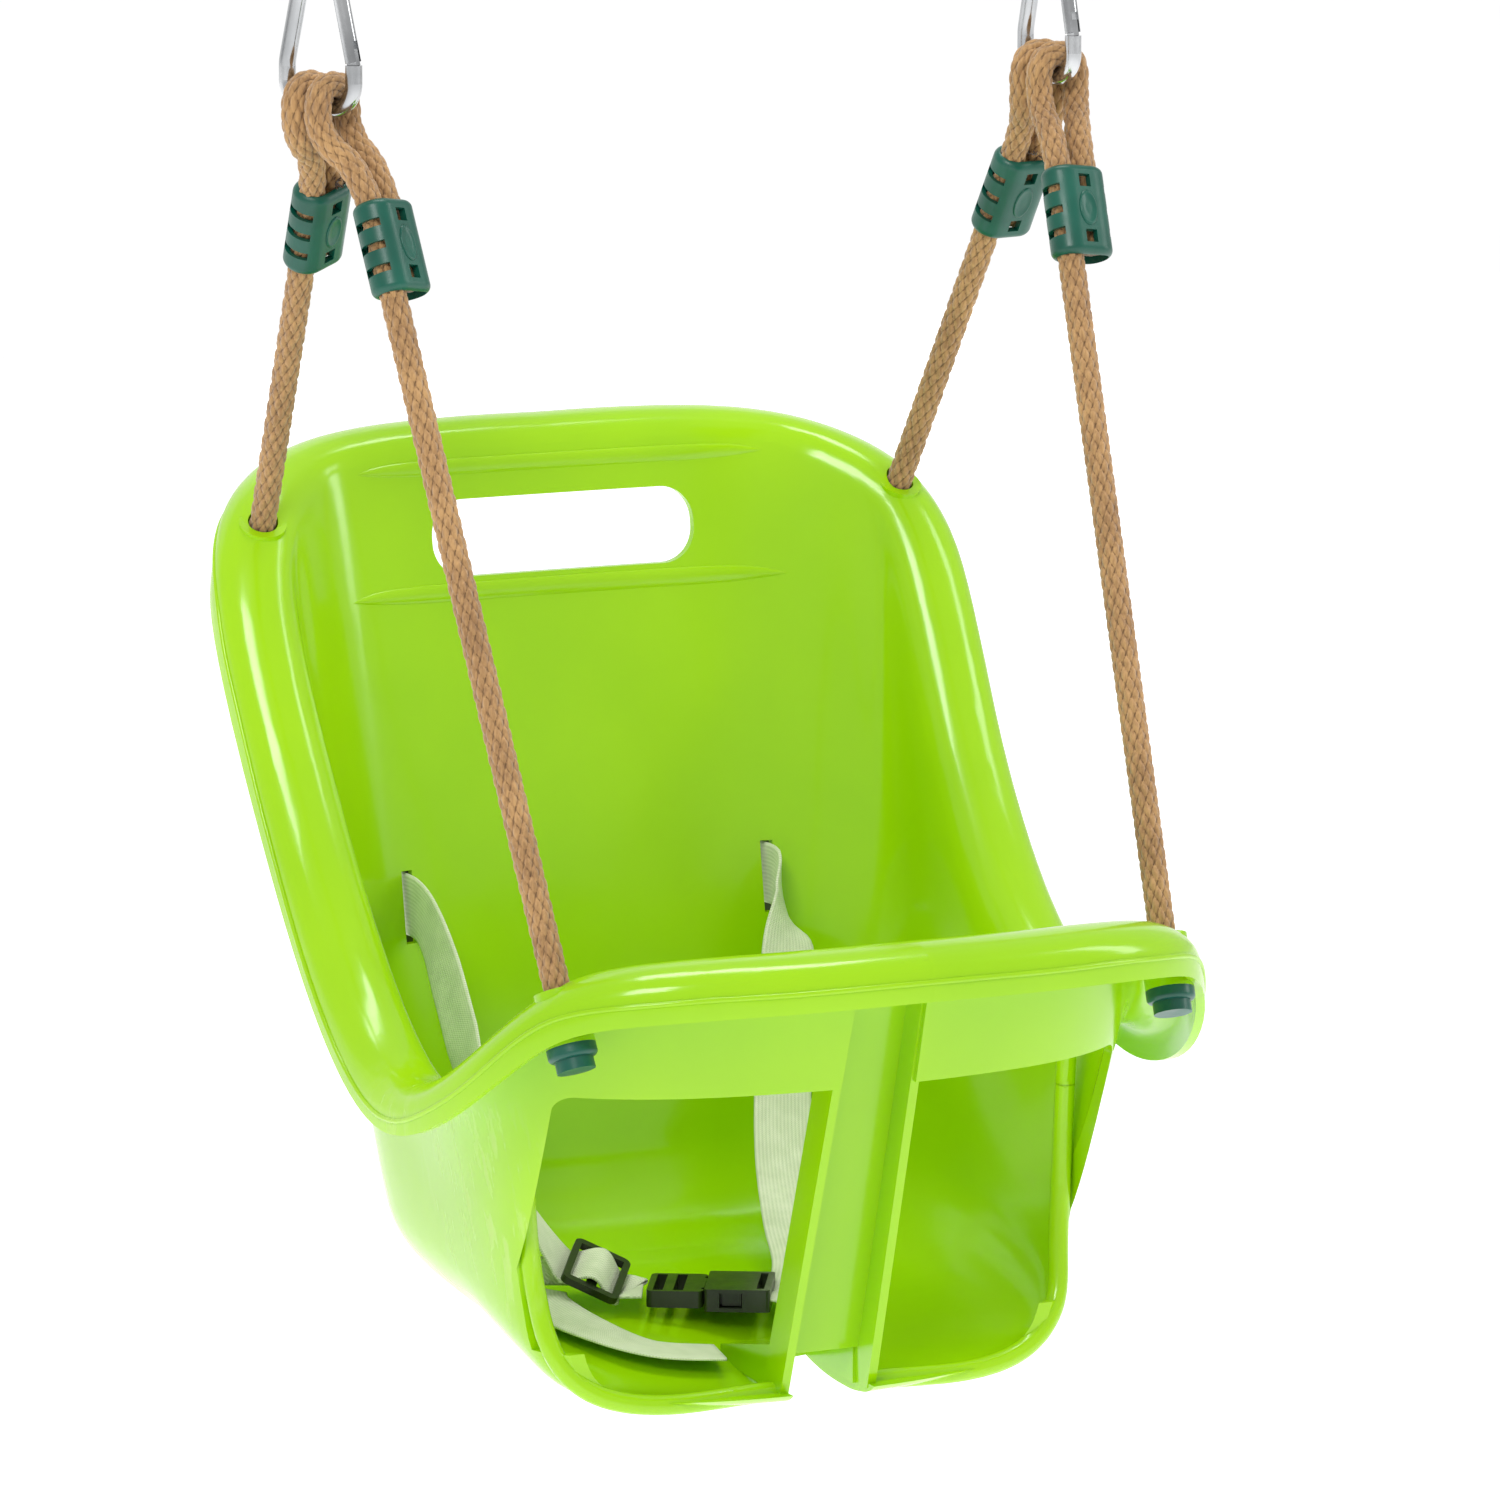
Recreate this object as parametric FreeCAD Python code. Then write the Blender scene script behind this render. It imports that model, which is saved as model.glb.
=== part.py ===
"""Toddler bucket swing: moulded bucket seat hung by four braided ropes from two snap hooks, with a lap belt.

Millimetres.  +X is the child's left seen from the front, -Y is the front, +Z is up.
The origin is midway between the two hooks, at the inner top of their bows, where the swing hangs.
"""
import FreeCAD
import Part
import math
import os

V = FreeCAD.Vector

# ---- driving dimensions -------------------------------------------------------------------------
WALL = 3.6              # moulded wall thickness
ROPE_R = 5.25           # braided rope radius
ROPE_HOLE_R = 6.0       # holes for the ropes in the rim
BOSS_R = 9.5            # tubes moulded under the rim round the rope holes
WIRE_R = 3.3            # snap hook wire radius
HOOK_X = 156.0          # hooks stand this far each side of the middle
HOOK_BAR_Z = -65.0      # centre line of the hook's lower, wide end
HOOK_HALF_WIDTH = 16.0  # centre line of each leg, at the wide end
HOOK_TOP_HALF_WIDTH = 7.0
HOOK_TURN = {"left": -60.0, "right": -81.0}   # direction of the hook's bar, degrees from +X
CLAMP_LENGTH = 37.0
CLAMP_WIDTH = 26.0
CLAMP_DEPTH = 17.0
STRAND = 5.6            # each rope strand runs this far from the clamp's middle
WEB = 25.0              # belt webbing width
WEB_T = 1.4             # belt webbing thickness

OPENING_SIDE = 119.0    # the leg openings reach this far each side
OPENING_TOP = -428.0
OPENING_BACK = -97.0    # the side walls end here, in a lip each side
OPENING_LOW = -556.0
POST_DEPTH = 15.0       # the crotch post is a channel this deep
POST_FLANGE = 3.6
POST_TOP = -388.0
POST_FOOT = -558.0
POST_HALF = (17.5, 20.5)    # half width at the top and at the foot
NOTCH_HALF = 17.2       # gap between the two foot lips, under the post
WEB_FOOT = -543.0       # the channel's web stops above the floor's lip
HAND_HOLE = (58.0, -255.0, 15.5)    # half width, height and half height of the hole in the backrest
SLOT_X = 80.0           # belt slots in the back
SLOT_WIDTH = 5.0
SLOT_HEIGHT = 29.0
SLOT_LOW = -414.0
ANCHOR_Y = 111.0        # plates behind the back that the belt is sewn to
BOSS_LENGTH = {"rear": 24.0, "front": 24.5}   # from the rim's crest to the boss's foot
ROPE_BELOW = {"rear": 29.0, "front": 29.5}    # the rope's end, below the crest
CLAMP_REACH = {"rear": 124.0, "front": 272.0}  # from the rope hole up to the clamp's foot
MAIN_STRAND = {("left", "rear"): -1, ("left", "front"): -1, ("right", "rear"): -1, ("right", "front"): -1}
CLAMP_SLOTS_Z = (-9.0, 0.0, 9.0)
STOP_FLANGE_R = 9.5
STOP_CUP_R = 7.4
HOOK_TOP_Z = WIRE_R     # centre line of the hook's bow
GATE_LOW_Z = HOOK_BAR_Z + 17
GATE_HIGH_Z = HOOK_TOP_Z - 12
PIN_R = 1.0

REAR_HOLE = V(140.7, 101, -237)
FRONT_HOLE = V(127.6, -155, -380)
REAR_CLAMP_LOW = V(148.6, 39, -130)
FRONT_CLAMP_LOW = V(144.4, -42.5, -133)

BUCKLE = V(-8, -35, -536.2)     # middle of the closed buckle, lying on the seat's floor
BUCKLE_DIR = V(0.873, -0.488, 0).normalize()    # from the plug to the socket
TAB_ROOT = -2.2
TAB_ROOT_R = 1.4
TAB_ACROSS = 9.5
SLIDER = V(-48, -12, -529)
SLIDER_DIR = V(0.80, -0.42, -0.42).normalize()
SLIDER_UP = SLIDER_DIR.cross(V(0.5, 0.86, 0.3)).normalize()
UPRIGHT = V(0, 0, 1)
# Belt webbing: middle line and the direction of its width.
BELT_LEFT = [(V(-SLOT_X, ANCHOR_Y, -399), UPRIGHT), (V(-80, 92, -399), UPRIGHT),
             (V(-81, 75, -405), V(0.05, -0.3, 0.9)), (V(-83, 55, -420), V(0.15, -0.55, 0.75)),
             (V(-85, 34, -441), V(0.15, -0.7, 0.6)), (V(-84, 14, -472), V(-0.1, -0.85, 0.3)),
             (V(-72, 1, -504), V(-0.4, -0.85, -0.1))]
BELT_RIGHT = [(V(SLOT_X, ANCHOR_Y, -399), UPRIGHT), (V(80, 92, -399), UPRIGHT),
              (V(77, 80, -408), V(-0.2, 0.1, 0.95)), (V(74, 68, -425), V(-0.7, 0.1, 0.6)),
              (V(66, 56, -470), V(-0.85, 0.05, 0.2)), (V(57, 36, -500), V(-0.85, 0.1, 0.1)),
              (V(46, 4, -520), V(-0.85, 0.3, 0)), (V(38, -24, -529), V(-0.8, 0.45, -0.1))]
BELT_TAIL = [(V(-60, 8, -535.5), V(0.4, 1, 0)), (V(-69, -1, -535.8), V(0.6, 0.8, 0)), (V(-75, -20, -537), V(1, 0.3, 0)),
             (V(-68, -50, -541.5), V(0.8, 0.6, 0)), (V(-50, -70, -547.3), V(0.4, 0.9, 0)),
             (V(-24, -77, -550), V(0.1, 1, 0))]

# Right half of the rim's crest, from the middle of the back round to the middle of the front rail.
RIM = [V(0, 149, -209), V(55, 148, -209), V(110, 140, -215), V(144, 103, -236), V(147, 75, -282),
       V(145, 40, -342), V(145, -8, -400), V(147, -66, -432), V(144, -114, -417), V(127.6, -155, -380),
       V(95, -182, -370), V(50, -194, -368), V(0, -198, -367)]
# The wall's knuckle, where it starts to round into the floor, and the floor's edge, at the same stations.
KNUCKLE = [V(0, 92, -490), V(50, 91, -490), V(85, 82, -490), V(105, 62, -492), V(114, 40, -494),
           V(117, 15, -496), V(118, -15, -498), V(118, -50, -502), V(116, -90, -510), V(106, -108, -520),
           V(82, -121, -525), V(45, -131, -525), V(0, -134, -525)]
FLOOR = [V(0, 50, -538), V(30, 49, -538), V(50, 44, -538), V(62, 32, -539), V(68, 20, -540),
         V(70, 5, -541), V(70, -15, -543), V(70, -40, -545), V(72, -66, -549), V(74, -88, -554),
         V(56, -100, -557), V(28, -110, -558), V(0, -112, -558)]
SPINE_Y = [40, 32, 22, 12, 4, -6, -18, -32, -48, -64, -80, -93, -100]
# Lip of the right leg opening.
LIP_R = 4
FLOOR_FRONT = -112
RAMP_BACK = -66
LEG_LIP = [(19, -117, -557), (50, -117, -557.5), (78, -115, -556), (96, -111, -549.5), (107, -107, -537),
           (111.5, -101, -518), (114, -97.5, -495), (115.5, -97, -465), (116.5, -98, -430)]
# Section of the rolled rim: outwards and upwards from the crest, skirt edge first.
RIM_SECTION = [(17, -20), (17.5, -9), (12, -2.5), (3, 0.5), (-7, -0.5), (-14, -5.5), (-18, -15)]

os.makedirs("parts", exist_ok=True)


def save(name, shape):
    shape.exportStep(f"parts/{name}.step")


def unit(v):
    return V(v).normalize()


def mirrored(shape):
    return shape.mirror(V(0, 0, 0), V(1, 0, 0))


def side_point(p, side):
    return V(-p.x, p.y, p.z) if side == "left" else V(p)


# ---- seat ---------------------------------------------------------------------------------------
def smooth_row(points):
    """Points halfway between the stations too, on a smooth curve."""
    out = []
    for i in range(len(points) - 1):
        p0 = points[i - 1] if i else V(-points[1].x, points[1].y, points[1].z)
        last = points[-1]
        p3 = points[i + 2] if i + 2 < len(points) else V(-points[-2].x, points[-2].y, last.z)
        p1, p2 = points[i], points[i + 1]
        out.append(p1)
        out.append((p1 + p2) * (9 / 16) - (p0 + p3) * (1 / 16))
    out.append(points[-1])
    return out


def inner_grid():
    """Points of the seat's inner face: skirt edge, over the crest, down the wall, across the floor."""
    spine = [V(0, y, f.z) for y, f in zip(SPINE_Y, FLOOR)]
    rim, knuckle, floor, spine = (smooth_row(r) for r in (RIM, KNUCKLE, FLOOR, spine))
    rows = []
    for i, crest in enumerate(rim):
        before = rim[i - 1] if i else V(-rim[1].x, rim[1].y, rim[1].z)
        after = rim[i + 1] if i + 1 < len(rim) else V(-rim[-2].x, rim[-2].y, rim[-2].z)
        along = unit(after - before)
        out = unit(V(0, 0, 1).cross(along))
        up = unit(along.cross(out))
        row = [crest + out * o + up * u for o, u in RIM_SECTION]
        k, f, s = knuckle[i], floor[i], spine[i]
        corner = V(k.x, k.y, f.z)
        top = row[-1]
        row += [top * (2 / 3) + k * (1 / 3), top * (1 / 3) + k * (2 / 3), k]
        sharp = 0.40 + 0.22 * min(max((i - 13) / 5, 0), 1)    # the foot's lip is squarer than the back
        for high in (0.82, 0.18):
            row.append((k * high + f * (1 - high)) * (1 - sharp) + corner * sharp)
        row += [f, (f + s) * 0.5, s]
        if crest.x == 0:
            row = [V(0, p.y, p.z) for p in row]
        rows.append(row)
    return rows


def offset_grid(rows, distance):
    """The grid moved along its own normals, kept flat where it meets the middle plane."""
    count, width = len(rows), len(rows[0])
    moved = []
    for i in range(count):
        row = []
        for j in range(width):
            def at(a, b):
                if a < 0 or a >= count:
                    q = rows[-a if a < 0 else 2 * count - 2 - a][b]
                    return V(-q.x, q.y, q.z)
                return rows[a][b]
            du = at(i + 1, j) - at(i - 1, j)
            dv = rows[i][min(j + 1, width - 1)] - rows[i][max(j - 1, 0)]
            n = V(0, 0, -1) if j == width - 1 else unit(du.cross(dv))
            p = rows[i][j] + n * distance
            if i in (0, count - 1) or j == width - 1:
                p.x = 0
            row.append(p)
        moved.append(row)
    return moved


def clamped_knots(count, degree):
    """Even knots and their multiplicities, for a curve that starts and ends on its end poles."""
    spans = count - degree
    return list(range(spans + 1)), [degree + 1] + [1] * (spans - 1) + [degree + 1]


def grid_face(rows):
    """A smooth surface with the rows as its control net."""
    along, across = 3, 2
    u_knots, u_mults = clamped_knots(len(rows), along)
    v_knots, v_mults = clamped_knots(len(rows[0]), across)
    surface = Part.BSplineSurface()
    surface.buildFromPolesMultsKnots(rows, u_mults, v_mults, u_knots, v_knots, False, False, along, across)
    return surface


def rim_edge(surface, which, end):
    """One border of a surface, as an edge: which is u or v, end is 0 or 1."""
    bounds = surface.bounds()
    at = bounds[end] if which == "u" else bounds[2 + end]
    curve = surface.uIso(at) if which == "u" else surface.vIso(at)
    return curve.toShape()


def half_tub():
    """The right half of the moulding, closed by flat faces on the middle plane."""
    inside = inner_grid()
    a, b = grid_face(inside), grid_face(offset_grid(inside, WALL))
    faces = [a.toShape(), b.toShape()]
    for which, end in (("v", 0), ("u", 0), ("u", 1), ("v", 1)):
        faces.append(Part.makeRuledSurface(rim_edge(a, which, end), rim_edge(b, which, end), 1))
    sewn = Part.Compound(faces)
    sewn.sewShape()
    solid = Part.Solid(sewn.Shells[0])
    if solid.Volume < 0:
        solid.reverse()
    return solid

def rounded_slab(x0, x1, z0, z1, radii, y0, y1):
    """A slab along Y with rounded corners: radii are low-left, low-right, high-right, high-left."""
    corners = [(x0, z0), (x1, z0), (x1, z1), (x0, z1)]
    edges = []
    starts, ends = [], []
    for i, (x, z) in enumerate(corners):
        r = radii[i]
        px, pz = corners[i - 1]
        nx, nz = corners[(i + 1) % 4]
        before, after = unit(V(px - x, 0, pz - z)), unit(V(nx - x, 0, nz - z))
        c = V(x, y0, z)
        a, b = c + before * r, c + after * r
        mid = c + (before + after) * r * (1 - math.sqrt(0.5))
        starts.append(a)
        ends.append(b)
        edges.append(Part.Arc(a, mid, b).toShape())
    for i in range(4):
        edges.append(Part.LineSegment(ends[i], starts[(i + 1) % 4]).toShape())
    wire = Part.Wire(Part.__sortEdges__(edges))
    return Part.Face(wire).extrude(V(0, y1 - y0, 0))


def front_y(z):
    """The front wall's face at the middle, which leans back towards its foot."""
    return -180 - (z + 382) * 40 / 123


def post_pieces():
    """The crotch post's channel: a web set back between two flanges, all leaning with the front wall."""
    def slab(x_top, x_foot, thick, front, back, foot):
        """A leaning slab: x at the post's top and foot, its thickness, and its reach behind the front wall."""
        sections = []
        for z in (POST_TOP, foot):
            x = x_top + (x_foot - x_top) * (POST_TOP - z) / (POST_TOP - POST_FOOT)
            y = front_y(z)
            sections.append([V(x, y + front, z), V(x + thick, y + front, z), V(x + thick, y + back, z),
                             V(x, y + back, z)])
        return lofted(sections)
    pieces = []
    for side in (-1, 1):
        shift = -POST_FLANGE if side > 0 else 0
        pieces.append(slab(side * POST_HALF[0] + shift, side * POST_HALF[1] + shift, POST_FLANGE, -1, POST_DEPTH,
                           POST_FOOT))
    sections = []
    for z in (POST_TOP, WEB_FOOT):
        half = POST_HALF[0] + (POST_HALF[1] - POST_HALF[0]) * (POST_TOP - z) / (POST_TOP - POST_FOOT) - 1
        y = front_y(z) + POST_DEPTH
        sections.append([V(-half, y - POST_FLANGE, z), V(half, y - POST_FLANGE, z), V(half, y, z), V(-half, y, z)])
    pieces.append(lofted(sections))
    foot_y = front_y(WEB_FOOT) + POST_DEPTH
    low, high = V(0, RAMP_BACK, WEB_FOOT - 10), V(0, foot_y - 1.2, WEB_FOOT + 0.4)
    half = V(NOTCH_HALF + 1.6, 0, 0)
    up = V(0, 0, WALL)
    pieces.append(lofted([[p - half, p + half, p + half + up, p - half + up] for p in (low, high)]))
    for side in (-1, 1):
        x = V(side * NOTCH_HALF - 1.6, 0, 0)
        wide = V(3.2, 0, 0)
        foot = V(0, foot_y - 1.2, WEB_FOOT - 15)
        back = V(0, RAMP_BACK, WEB_FOOT - 12.5)
        pieces.append(lofted([[p + x, p + x + wide, q + x + wide, q + x]
                              for p, q in ((back, low + up), (foot, high + up))]))
    return pieces


def lofted(sections):
    wires = [Part.makePolygon(p + [p[0]]) for p in sections]
    return Part.makeLoft(wires, True, True)


def rope_axis(corner):
    """Where a right-hand rope goes through the rim, and the direction it leaves in."""
    hole, low = (REAR_HOLE, REAR_CLAMP_LOW) if corner == "rear" else (FRONT_HOLE, FRONT_CLAMP_LOW)
    return hole, unit(low - hole)


def leg_lip():
    """The rounded lip of the right leg opening: out from the post's foot, round the corner and up the side."""
    path = Part.BSplineCurve()
    path.interpolate([V(*p) for p in LEG_LIP])
    start, direction = path.value(0), unit(path.tangent(0)[0])
    ring = Part.Wire([Part.Circle(start, direction, LIP_R).toShape()])
    return Part.Wire([path.toShape()]).makePipeShell([ring], True, True)


def seat_shell():
    half = half_tub()
    tub = half.fuse(mirrored(half))
    window = rounded_slab(-OPENING_SIDE, OPENING_SIDE, OPENING_LOW, OPENING_TOP, (24, 24, 6, 6), -240, FLOOR_FRONT)
    channel = lofted([[V(-h, front_y(z) - 8, z), V(h, front_y(z) - 8, z), V(h, front_y(z) + 12, z),
                       V(-h, front_y(z) + 12, z)] for z, h in ((-393, 15), (-440, 16))])
    floor_edge = rounded_slab(-OPENING_SIDE, OPENING_SIDE, -535, OPENING_TOP, (0.5, 0.5, 6, 6), -240, OPENING_BACK)
    notch = Part.makeBox(2 * NOTCH_HALF, 200, 40, V(-NOTCH_HALF, RAMP_BACK - 202, WEB_FOOT - 38))
    hand_hole = rounded_slab(-HAND_HOLE[0], HAND_HOLE[0], HAND_HOLE[1] - HAND_HOLE[2],
                             HAND_HOLE[1] + HAND_HOLE[2], (14, 14, 14, 14), 90, 200)
    shell = tub.cut(window).cut(floor_edge).cut(channel).cut(notch).cut(hand_hole)
    for piece in post_pieces() + [leg_lip(), mirrored(leg_lip())]:
        shell = shell.fuse(piece)
    for side in ("left", "right"):
        x = SLOT_X if side == "right" else -SLOT_X
        shell = shell.cut(Part.makeBox(SLOT_WIDTH, 60, SLOT_HEIGHT, V(x - SLOT_WIDTH / 2, 72, SLOT_LOW)))
        for corner in ("rear", "front"):
            hole, up = rope_axis(corner)
            hole, up = side_point(hole, side), side_point(up, side)
            length = BOSS_LENGTH[corner]
            bore = Part.makeCylinder(ROPE_HOLE_R, length + 20, hole - up * (length + 4), up)
            boss = Part.makeCylinder(BOSS_R, length - 3.2, hole - up * length, up).cut(bore)
            shell = shell.cut(bore).fuse(boss)
    return shell


# ---- ropes --------------------------------------------------------------------------------------
def rounded_route(points):
    """Straight runs joined by tangent arcs; returns the wire and the arcs' radii."""
    edges, radii = [], []
    last = points[0]
    for i in range(1, len(points) - 1):
        before, after = points[i] - points[i - 1], points[i + 1] - points[i]
        turn = before.getAngle(after)
        shorter = min(before.Length, after.Length)
        radius = 0.45 * shorter / math.tan(turn / 2)
        cut = 0.45 * shorter
        a, b = points[i] - unit(before) * cut, points[i] + unit(after) * cut
        bisector = unit(unit(after) - unit(before))
        mid = points[i] + bisector * (radius / math.cos(turn / 2) - radius)
        edges.append(Part.LineSegment(last, a).toShape())
        edges.append(Part.Arc(a, mid, b).toShape())
        radii.append(radius)
        last = b
    edges.append(Part.LineSegment(last, points[-1]).toShape())
    return Part.Wire(edges), radii


def hook_frame(side):
    """The hook's bar direction (towards the front) and the level direction across it."""
    turn = math.radians(HOOK_TURN[side])
    bar = V(math.cos(turn), math.sin(turn), 0)
    return bar, V(-bar.y, bar.x, 0)


def bar_centre(side):
    return V(-HOOK_X if side == "left" else HOOK_X, 0, HOOK_BAR_Z)


def rope_layout(side, corner):
    """Everything that places one rope: its route, its clamp's middle, axis and the way its strands lie."""
    hole, up = rope_axis(corner)
    hole, up = side_point(hole, side), side_point(up, side)
    bar, across = hook_frame(side)
    sign = MAIN_STRAND[side, corner]
    lie = unit(across - up * across.dot(up)) * sign
    reach = CLAMP_REACH[corner]
    clamp_low = hole + up * reach
    clamp_top = clamp_low + up * CLAMP_LENGTH
    over = bar_centre(side) + bar * (STRAND if corner == "front" else -STRAND)
    bend = WIRE_R + ROPE_R + 0.4
    outer = across * sign * bend
    top = V(0, 0, bend)
    tail = lie * (-2 * STRAND)
    route = [hole - up * ROPE_BELOW[corner], clamp_top + up * 12, over + outer - V(0, 0, 11),
             over + outer + top, over - outer + top, over - outer - V(0, 0, 11),
             clamp_top + tail + up * 12, clamp_low + tail + up * 3]
    return {"route": route, "clamp": clamp_low + up * (CLAMP_LENGTH / 2) - lie * STRAND, "up": up, "lie": lie}


def rope(side, corner):
    layout = rope_layout(side, corner)
    wire, radii = rounded_route(layout["route"])
    first = wire.Edges[0]
    start = first.valueAt(first.FirstParameter)
    circle = Part.Wire(Part.makeCircle(ROPE_R, start, layout["up"]))
    tube = wire.makePipeShell([circle], True, False)
    share = tube.Volume / (math.pi * ROPE_R ** 2 * wire.Length)
    print(f"rope_{corner}_{side}: length {wire.Length:.0f} mm, volume / (section x length) {share:.3f}, "
          f"arc radii {[round(r, 1) for r in radii]}")
    return tube


# ---- clamps and stops ---------------------------------------------------------------------------
def placed(shape, centre, x_axis, z_axis):
    """Put a shape made at the origin at centre, with its X and Z along the two directions."""
    y_axis = z_axis.cross(x_axis)
    m = FreeCAD.Matrix(x_axis.x, y_axis.x, z_axis.x, centre.x, x_axis.y, y_axis.y, z_axis.y, centre.y,
                       x_axis.z, y_axis.z, z_axis.z, centre.z, 0, 0, 0, 1)
    copy = shape.copy()
    copy.Placement = FreeCAD.Placement(m)
    return copy


def stadium(width, depth, height, z):
    """An upright solid with round ends: width along X, depth along Y."""
    r, h = depth / 2, width / 2 - depth / 2
    a, b = V(-h, -r, z), V(h, -r, z)
    c, d = V(h, r, z), V(-h, r, z)
    edges = [Part.LineSegment(a, b).toShape(), Part.Arc(b, V(h + r, 0, z), c).toShape(),
             Part.LineSegment(c, d).toShape(), Part.Arc(d, V(-h - r, 0, z), a).toShape()]
    return Part.Face(Part.Wire(edges)).extrude(V(0, 0, height))


def clamp_barrel():
    """A rope clamp about its own middle: strands side by side along X, axis along Z."""
    half = CLAMP_LENGTH / 2
    body = stadium(CLAMP_WIDTH, CLAMP_DEPTH, CLAMP_LENGTH, -half)
    rims = [e for e in body.Edges if abs(abs(e.CenterOfMass.z) - half) < 0.01]
    body = body.makeFillet(3.0, rims)
    body = body.cut(stadium(4 * ROPE_R + 1.6, 2 * ROPE_R + 0.7, CLAMP_LENGTH + 2, -half - 1))
    for z in CLAMP_SLOTS_Z:
        for side in (-1, 1):
            x = side * CLAMP_WIDTH / 2
            body = body.cut(Part.makeBox(10, CLAMP_DEPTH - 5, 3.2, V(x - 5, -(CLAMP_DEPTH - 5) / 2, z - 1.6)))
    for z in (-11.5, 11.5):
        body = body.cut(Part.makeBox(5.2, CLAMP_DEPTH + 2, 5.2, V(-2.6, -CLAMP_DEPTH / 2 - 1, z - 2.6)))
    return body


def clamp_halves(side, corner):
    layout = rope_layout(side, corner)
    body = clamp_barrel()
    big = 60
    front = body.common(Part.makeBox(big, big, big, V(-big / 2, -big, -big / 2)))
    back = body.common(Part.makeBox(big, big, big, V(-big / 2, 0, -big / 2)))
    lie, up = layout["lie"], layout["up"]
    if up.cross(lie).y < 0:
        lie = lie * -1
    return [placed(half, layout["clamp"], lie, up) for half in (front, back)]


def stop_button(side, corner):
    """Flanged button that the rope's end is held in, pulled up against the foot of its boss."""
    hole, up = rope_axis(corner)
    hole, up = side_point(hole, side), side_point(up, side)
    length = BOSS_LENGTH[corner]
    foot = hole - up * length
    button = Part.makeCylinder(STOP_FLANGE_R, 5.0, foot, up * -1)
    rim = [e for e in button.Edges if e.Curve.TypeId == "Part::GeomCircle" and
           (e.Curve.Center - foot).Length > 4]
    button = button.makeFillet(1.8, rim)
    cup = Part.makeCylinder(STOP_CUP_R, 5.0, foot - up * 4.5, up * -1)
    bore = Part.makeCylinder(ROPE_R, length, foot - up * 7, up)
    return button.fuse(cup).cut(bore)


# ---- snap hooks ---------------------------------------------------------------------------------
def hook_point(side, s, z):
    """A point in the hook's own plane: s along its bar, z up."""
    bar, _ = hook_frame(side)
    c = bar_centre(side)
    return V(c.x, c.y, z) + bar * s


def wire_rod(points, fillets, radius):
    """A bent wire: straight runs, with an arc of the given radius at each inner point."""
    edges = []
    last = points[0]
    for p, q, r, fillet in zip(points, points[1:], points[2:], fillets):
        before, after = unit(q - p), unit(r - q)
        turn = before.getAngle(after)
        cut = fillet * math.tan(turn / 2)
        a, b = q - before * cut, q + after * cut
        mid = q + unit(after - before) * (fillet / math.cos(turn / 2) - fillet)
        edges.append(Part.LineSegment(last, a).toShape())
        edges.append(Part.Arc(a, mid, b).toShape())
        last = b
    edges.append(Part.LineSegment(last, points[-1]).toShape())
    circle = Part.Wire(Part.makeCircle(radius, points[0], points[1] - points[0]))
    return Part.Wire(edges).makePipeShell([circle], True, False)


def hook_parts(side):
    """The bent hook with a tongue at each end, the slotted gate between them, and the gate's pin."""
    w, n = HOOK_HALF_WIDTH, HOOK_TOP_HALF_WIDTH
    _, across = hook_frame(side)
    low, high = hook_point(side, w, GATE_LOW_Z), hook_point(side, n, GATE_HIGH_Z)
    leg = unit(high - low)
    length = (high - low).Length
    body = wire_rod([low, hook_point(side, w, HOOK_BAR_Z), hook_point(side, -w, HOOK_BAR_Z),
                     hook_point(side, -w, GATE_LOW_Z), hook_point(side, -n, GATE_HIGH_Z),
                     hook_point(side, -n, HOOK_TOP_Z), hook_point(side, n, HOOK_TOP_Z), high],
                    [10, 10, 16, 12, 6.95, 6.95], WIRE_R)
    for start, direction in ((low, leg), (high, leg * -1)):
        tongue = Part.makeBox(2.4, 4.6, 6.4, V(-1.2, -2.3, -0.4))
        body = body.fuse(placed(tongue, start, across, direction))
    pin_at = high - leg * 4.6
    pin = Part.makeCylinder(PIN_R, 6.2, pin_at - across * 3.1, across)
    body = body.cut(Part.makeCylinder(PIN_R, 10, pin_at - across * 5, across))
    gate_start, gate_length = low + leg * 1.0, length - 1.0 - 1.7
    gate = Part.makeCylinder(WIRE_R - 0.2, gate_length, gate_start, leg)
    for at, direction in ((gate_start - leg, leg), (gate_start + leg * (gate_length + 1), leg * -1)):
        slot = Part.makeBox(3.0, 10, 9.0, V(-1.5, -5, 0))
        gate = gate.cut(placed(slot, at, across, direction))
    gate = gate.cut(Part.makeCylinder(PIN_R + 0.05, 10, pin_at - across * 5, across))
    return body, gate, pin, pin_at, across


# ---- lap belt -----------------------------------------------------------------------------------
def ribbon(stations, thickness=WEB_T):
    """A strap through stations of (middle, width direction, and its own direction if it turns flat)."""
    sections = []
    for i, (p, w, *given) in enumerate(stations):
        ahead = unit(stations[min(i + 1, len(stations) - 1)][0] - stations[max(i - 1, 0)][0])
        ahead = given[0] if given else ahead
        w = unit(w - ahead * w.dot(ahead))
        a, b = w * (WEB / 2), unit(ahead.cross(w)) * (thickness / 2)
        sections.append([p - a - b, p + a - b, p + a + b, p - a + b])
    return lofted(sections)


def buckle_point(along, across=0.0, up=0.0):
    """A point on the buckle: along it towards the socket, across it towards the back, and up."""
    return BUCKLE + BUCKLE_DIR * along + V(-BUCKLE_DIR.y, BUCKLE_DIR.x, 0) * across + V(0, 0, up)


def buckle_box(along, across, up):
    """A box on the buckle, from (low, high) pairs."""
    box = Part.makeBox(along[1] - along[0], across[1] - across[0], up[1] - up[0], V(along[0], across[0], up[0]))
    return placed(box, BUCKLE, BUCKLE_DIR, V(0, 0, 1))


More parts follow.
